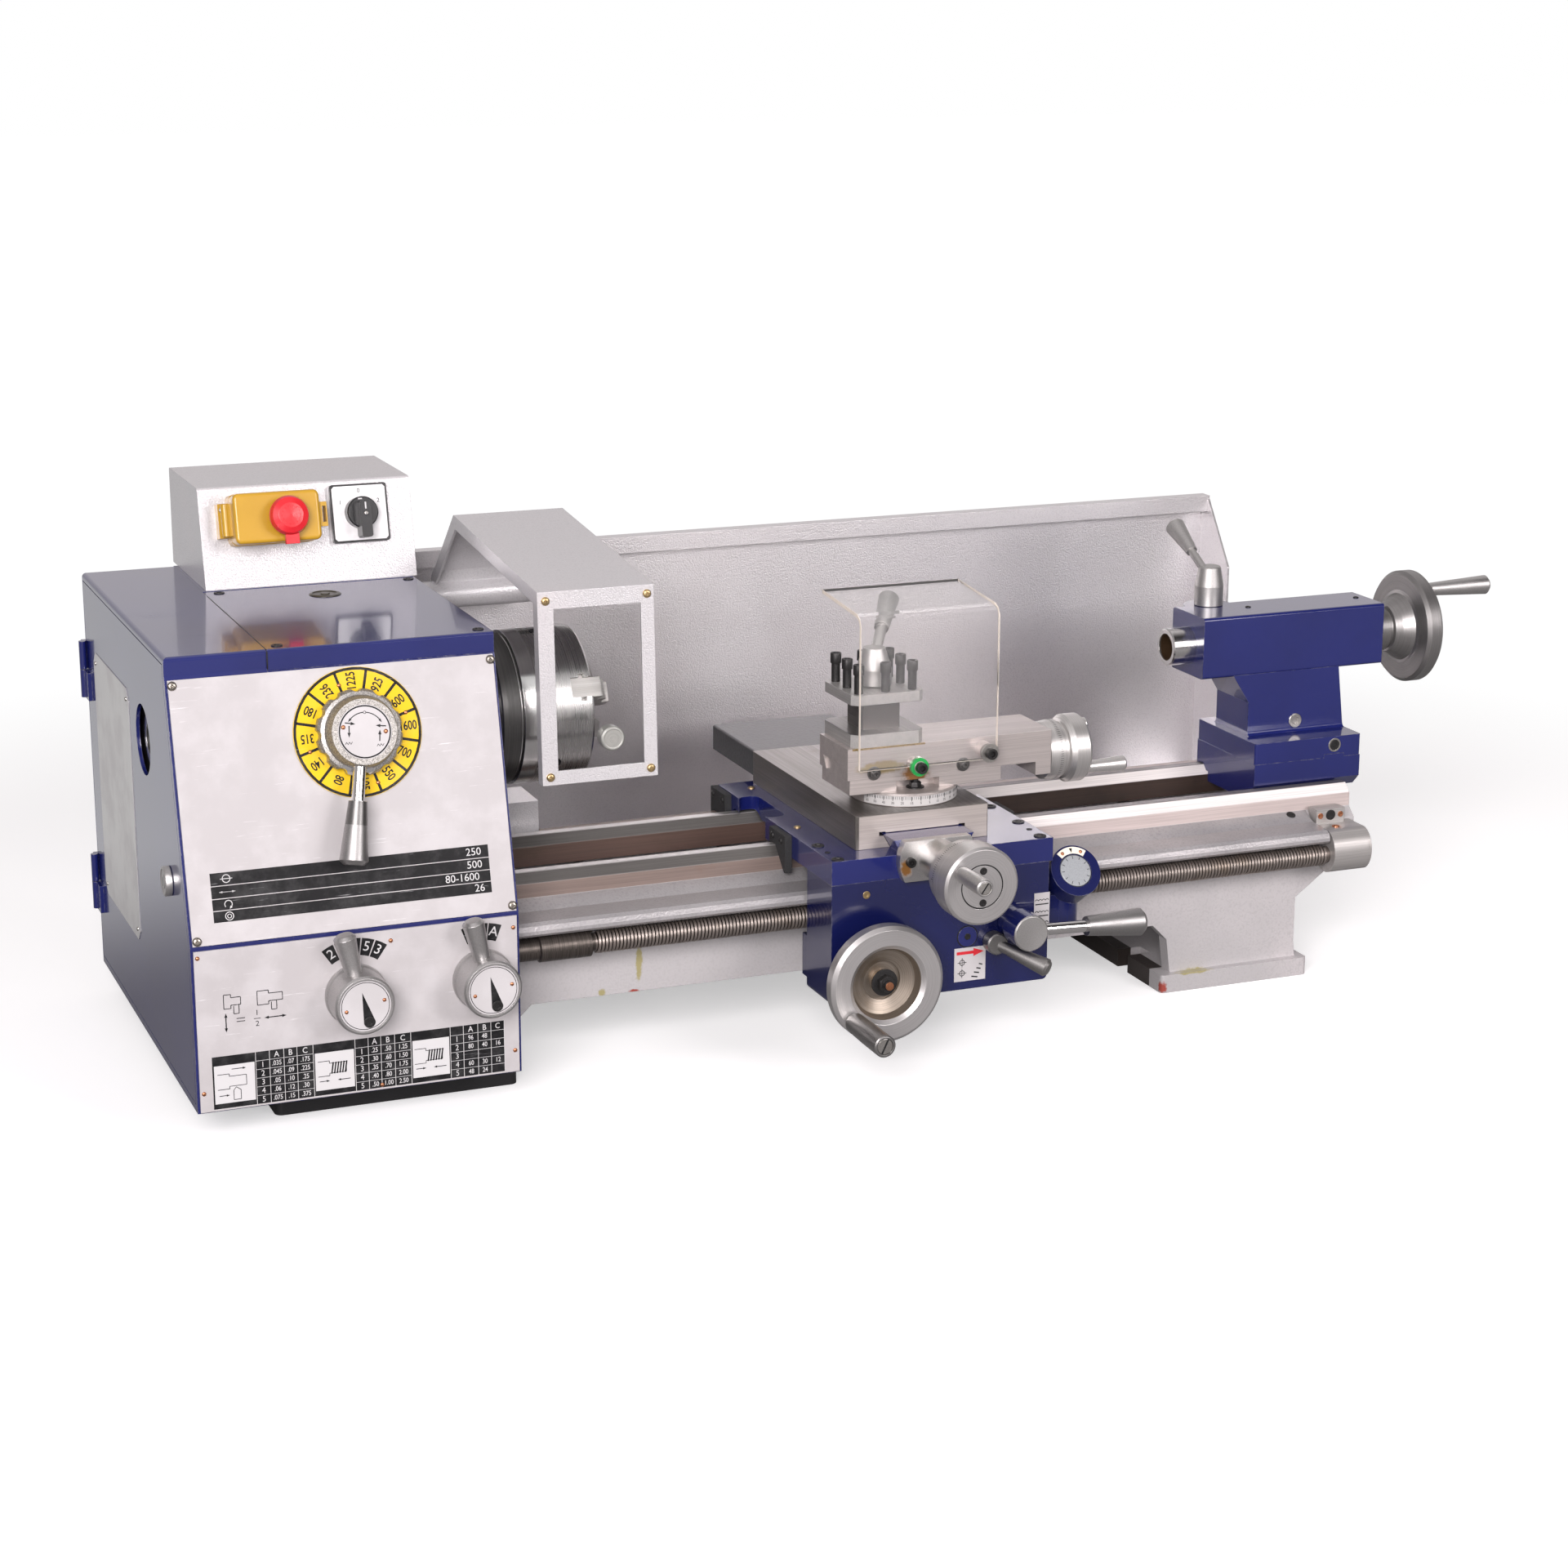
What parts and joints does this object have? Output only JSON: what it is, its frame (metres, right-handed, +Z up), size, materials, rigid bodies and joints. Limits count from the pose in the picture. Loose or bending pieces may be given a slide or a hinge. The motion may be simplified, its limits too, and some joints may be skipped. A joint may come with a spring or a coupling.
{
  "type": "bench lathe",
  "caption": "Bench metal lathe with a guarded chuck, ridged bed, geared carriage with cross and compound slides, tool post, tailstock, leadscrew and splash guard.",
  "frame": {"origin": "centre of the rectangle of bench bolts on the bench plane", "axes": "+X along the bed from headstock to tailstock, +Y from the operator to the back, +Z up"},
  "size_m": [1.225, 0.572, 0.451],
  "materials": {
    "casting": "sprayed grey hammer enamel with ground ways",
    "blue": "gloss blue enamel",
    "blue_iron": "gloss blue enamel on cast iron",
    "panel": "printed satin plate",
    "dial": "printed yellow ring",
    "hammer": "silver hammer enamel",
    "black": "gloss black",
    "black_sheet": "satin black",
    "black_rubber": "felt in a black holder",
    "yellow": "moulded yellow",
    "red": "moulded red",
    "green": "moulded green",
    "motor": "grey paint",
    "satin": "satin turned",
    "steel": "ground",
    "ground": "ground bare iron",
    "dark_steel": "darkened steel",
    "clear": "clear sheet",
    "rubber": "moulded belt"
  },
  "bodies": {
    "frame": {"bed": "casting", "headstock": "casting", "headstock_lid": "blue", "gear_case": "blue", "upper_panel": "panel", "lower_panel": "panel", "speed_dial": "dial", "control_box": "hammer", "switch_base": "yellow", "motor": "motor", "drive_belt": "rubber", "spindle_bearings": "steel", "splash_guard": "hammer", "leadscrew_bracket": "hammer"},
    "door": {"end_door": "blue"},
    "door_knob": {"door_lock": "satin"},
    "speed_handle": {"speed_lever": "satin"},
    "left_feed_knob": {"feed_knob_left": "satin"},
    "right_feed_knob": {"feed_knob_right": "satin"},
    "lid": {"switch_lid": "yellow"},
    "mushroom": {"stop_mushroom": "red"},
    "start": {"start_button": "green"},
    "stop": {"stop_button": "red"},
    "selector": {"rotary_knob": "black"},
    "motor_shaft": {"motor_pulley": "satin"},
    "spindle_set": {"spindle": "steel", "spindle_pulley": "satin", "chuck": "dark_steel"},
    "first_jaw": {"jaw_1": "steel"},
    "second_jaw": {"jaw_2": "steel"},
    "third_jaw": {"jaw_3": "steel"},
    "idler": {"idler_gear": "steel"},
    "feed": {"feed_gear": "steel"},
    "chuck_guard": {"guard": "hammer", "guard_window": "clear"},
    "lead": {"leadscrew": "dark_steel"},
    "carriage": {"saddle": "blue_iron", "way_wipers": "black_rubber", "apron": "blue_iron", "cross_bracket": "ground"},
    "carriage_wheel": {"carriage_handwheel": "satin"},
    "carriage_grip": {"carriage_handle": "steel"},
    "half_nut": {"half_nut_lever": "satin"},
    "feed_engage": {"feed_lever": "satin"},
    "thread_indicator": {"thread_dial": "satin"},
    "cross": {"cross_slide": "ground", "cross_cover": "black_sheet"},
    "cross_wheel": {"cross_handwheel": "satin"},
    "cross_grip": {"cross_handle": "steel"},
    "swivel": {"swivel_base": "ground"},
    "compound": {"top_slide": "ground"},
    "compound_wheel": {"top_slide_handwheel": "satin"},
    "post": {"tool_post": "steel"},
    "post_clamp": {"tool_post_lever": "satin"},
    "shield": {"chip_shield": "clear"},
    "tailstock": {"tailstock_base": "blue_iron", "tailstock_body": "blue_iron"},
    "barrel": {"quill": "steel"},
    "tail_wheel": {"tailstock_handwheel": "satin"},
    "barrel_clamp": {"quill_lock": "satin"}
  },
  "joints": [
    {"name": "door_hinge", "type": "hinge", "parent": "frame", "child": "door", "pos_m": [-0.5484, 0.2417, 0.2], "axis": [0, 0, -1], "range_deg": [0, 110]},
    {"name": "door_lock_turn", "type": "hinge", "parent": "door", "child": "door_knob", "pos_m": [-0.545, -0.084, 0.195], "axis": [-1, 0, 0], "range_deg": [0, 90]},
    {"name": "speed_select", "type": "hinge", "parent": "frame", "child": "speed_handle", "pos_m": [-0.404, -0.11107, 0.304], "axis": [0, -0.9693, 0.2457], "range_deg": [-150, 150]},
    {"name": "left_feed_turn", "type": "hinge", "parent": "frame", "child": "left_feed_knob", "pos_m": [-0.4215, -0.16, 0.1098], "axis": [0, -1, 0], "range_deg": [-50, 50]},
    {"name": "right_feed_turn", "type": "hinge", "parent": "frame", "child": "right_feed_knob", "pos_m": [-0.3215, -0.16, 0.1098], "axis": [0, -1, 0], "range_deg": [-30, 30]},
    {"name": "lid_hinge", "type": "hinge", "parent": "frame", "child": "lid", "pos_m": [-0.4465, 0.12902, 0.42757], "axis": [0, -0.2284, -0.9736], "range_deg": [0, 110]},
    {"name": "mushroom_press", "type": "slide", "parent": "lid", "child": "mushroom", "axis": [0, 0.9736, -0.2284], "range_m": [0, 0.004], "stiffness_N_per_m": 400},
    {"name": "start_press", "type": "slide", "parent": "frame", "child": "start", "axis": [0, 0.9736, -0.2284], "range_m": [0, 0.003], "stiffness_N_per_m": 300},
    {"name": "stop_press", "type": "slide", "parent": "frame", "child": "stop", "axis": [0, 0.9736, -0.2284], "range_m": [0, 0.003], "stiffness_N_per_m": 300},
    {"name": "selector_turn", "type": "hinge", "parent": "frame", "child": "selector", "pos_m": [-0.332, 0.1368, 0.42574], "axis": [0, -0.9736, 0.2284], "range_deg": [-60, 60]},
    {"name": "motor_spin", "type": "hinge", "parent": "frame", "child": "motor_shaft", "pos_m": [-0.491, 0.182, 0.255], "axis": [1, 0, 0], "continuous": true},
    {"name": "spindle_spin", "type": "hinge", "parent": "frame", "child": "spindle_set", "pos_m": [-0.291, 0, 0.285], "axis": [1, 0, 0], "continuous": true},
    {"name": "jaw_1_slide", "type": "slide", "parent": "spindle_set", "child": "first_jaw", "axis": [0, -0.9135, 0.4067], "range_m": [-0.008, 0.012]},
    {"name": "jaw_2_slide", "type": "slide", "parent": "spindle_set", "child": "second_jaw", "axis": [0, 0.809, 0.5878], "range_m": [-0.008, 0.012]},
    {"name": "jaw_3_slide", "type": "slide", "parent": "spindle_set", "child": "third_jaw", "axis": [0, 0.1045, -0.9945], "range_m": [-0.008, 0.012]},
    {"name": "idler_spin", "type": "hinge", "parent": "frame", "child": "idler", "pos_m": [-0.491, -0.04949, 0.20236], "axis": [1, 0, 0], "continuous": true},
    {"name": "feed_gear_spin", "type": "hinge", "parent": "frame", "child": "feed", "pos_m": [-0.491, -0.1, 0.118], "axis": [1, 0, 0], "continuous": true},
    {"name": "guard_lift", "type": "hinge", "parent": "frame", "child": "chuck_guard", "pos_m": [-0.231, 0.205, 0.337], "axis": [-1, 0, 0], "range_deg": [0, 68]},
    {"name": "leadscrew_spin", "type": "hinge", "parent": "frame", "child": "lead", "pos_m": [0.009, -0.11, 0.115], "axis": [1, 0, 0], "continuous": true},
    {"name": "carriage_travel", "type": "slide", "parent": "frame", "child": "carriage", "axis": [1, 0, 0], "range_m": [-0.105, 0.08]},
    {"name": "carriage_wheel_turn", "type": "hinge", "parent": "carriage", "child": "carriage_wheel", "pos_m": [-0.004, -0.19, 0.082], "axis": [0, 1, 0], "range_deg": [-1000, 800]},
    {"name": "carriage_grip_spin", "type": "hinge", "parent": "carriage_wheel", "child": "carriage_grip", "pos_m": [-0.03373, -0.23, 0.05523], "axis": [0, -1, 0], "continuous": true},
    {"name": "half_nut_turn", "type": "hinge", "parent": "carriage", "child": "half_nut", "pos_m": [0.119, -0.19, 0.112], "axis": [0, 1, 0], "range_deg": [0, 30]},
    {"name": "feed_engage_turn", "type": "hinge", "parent": "carriage", "child": "feed_engage", "pos_m": [0.102, -0.18, 0.097], "axis": [0, 1, 0], "range_deg": [0, 40]},
    {"name": "thread_dial_turn", "type": "hinge", "parent": "carriage", "child": "thread_indicator", "pos_m": [0.18, -0.166, 0.146], "axis": [0, -0.8192, 0.5736], "range_deg": [-850, 850]},
    {"name": "cross_travel", "type": "slide", "parent": "carriage", "child": "cross", "axis": [0, 1, 0], "range_m": [-0.02, 0.065]},
    {"name": "cross_wheel_turn", "type": "hinge", "parent": "carriage", "child": "cross_wheel", "pos_m": [0.0485, -0.25, 0.1745], "axis": [0, 1, 0], "range_deg": [-1830, 5880]},
    {"name": "cross_grip_spin", "type": "hinge", "parent": "cross_wheel", "child": "cross_grip", "pos_m": [0.03048, -0.29, 0.18712], "axis": [0, -1, 0], "continuous": true},
    {"name": "compound_swivel", "type": "hinge", "parent": "cross", "child": "swivel", "pos_m": [0.055, -0.097, 0.212], "axis": [0, 0, 1], "range_deg": [-45, 45]},
    {"name": "compound_travel", "type": "slide", "parent": "swivel", "child": "compound", "axis": [-1, 0, 0], "range_m": [-0.03, 0.03]},
    {"name": "compound_wheel_turn", "type": "hinge", "parent": "compound", "child": "compound_wheel", "pos_m": [0.199, -0.097, 0.2315], "axis": [-1, 0, 0], "range_deg": [-5430, 5430]},
    {"name": "post_index", "type": "hinge", "parent": "compound", "child": "post", "pos_m": [0.029, -0.094, 0.275], "axis": [0, 0, 1], "continuous": true},
    {"name": "post_clamp_turn", "type": "hinge", "parent": "compound", "child": "post_clamp", "pos_m": [0.029, -0.094, 0.31], "axis": [0, 0, 1], "range_deg": [-70, 60]},
    {"name": "shield_lift", "type": "hinge", "parent": "compound", "child": "shield", "pos_m": [0.112, -0.137, 0.246], "axis": [0, 1, 0], "range_deg": [0, 70]},
    {"name": "tailstock_travel", "type": "slide", "parent": "frame", "child": "tailstock", "axis": [1, 0, 0], "range_m": [-0.075, 0]},
    {"name": "quill_travel", "type": "slide", "parent": "tailstock", "child": "barrel", "axis": [-1, 0, 0], "range_m": [-0.0185, 0.0605]},
    {"name": "tail_wheel_turn", "type": "hinge", "parent": "tailstock", "child": "tail_wheel", "pos_m": [0.579, 0, 0.285], "axis": [-1, 0, 0], "range_deg": [-2592, 8640]},
    {"name": "barrel_clamp_turn", "type": "hinge", "parent": "tailstock", "child": "barrel_clamp", "pos_m": [0.4037, 0.0244, 0.33], "axis": [0, 0, 1], "range_deg": [-40, 60]}
  ],
  "couplings": [
    {"joint": "motor_spin", "follows": "spindle_spin", "ratio": 2.2963},
    {"joint": "idler_spin", "follows": "spindle_spin", "ratio": -0.49281},
    {"joint": "feed_gear_spin", "follows": "spindle_spin", "ratio": 0.94065},
    {"joint": "leadscrew_spin", "follows": "spindle_spin", "ratio": 0.5},
    {"joint": "jaw_2_slide", "follows": "jaw_1_slide", "ratio": 1},
    {"joint": "jaw_3_slide", "follows": "jaw_1_slide", "ratio": 1},
    {"joint": "carriage_wheel_turn", "follows": "carriage_travel", "rad_per_m": 157.08},
    {"joint": "thread_dial_turn", "follows": "carriage_travel", "rad_per_m": 130.9},
    {"joint": "cross_wheel_turn", "follows": "cross_travel", "rad_per_m": 1570.8},
    {"joint": "compound_wheel_turn", "follows": "compound_travel", "rad_per_m": 3141.6},
    {"joint": "quill_travel", "follows": "tail_wheel_turn", "m_per_rad": 0.00039789}
  ]
}
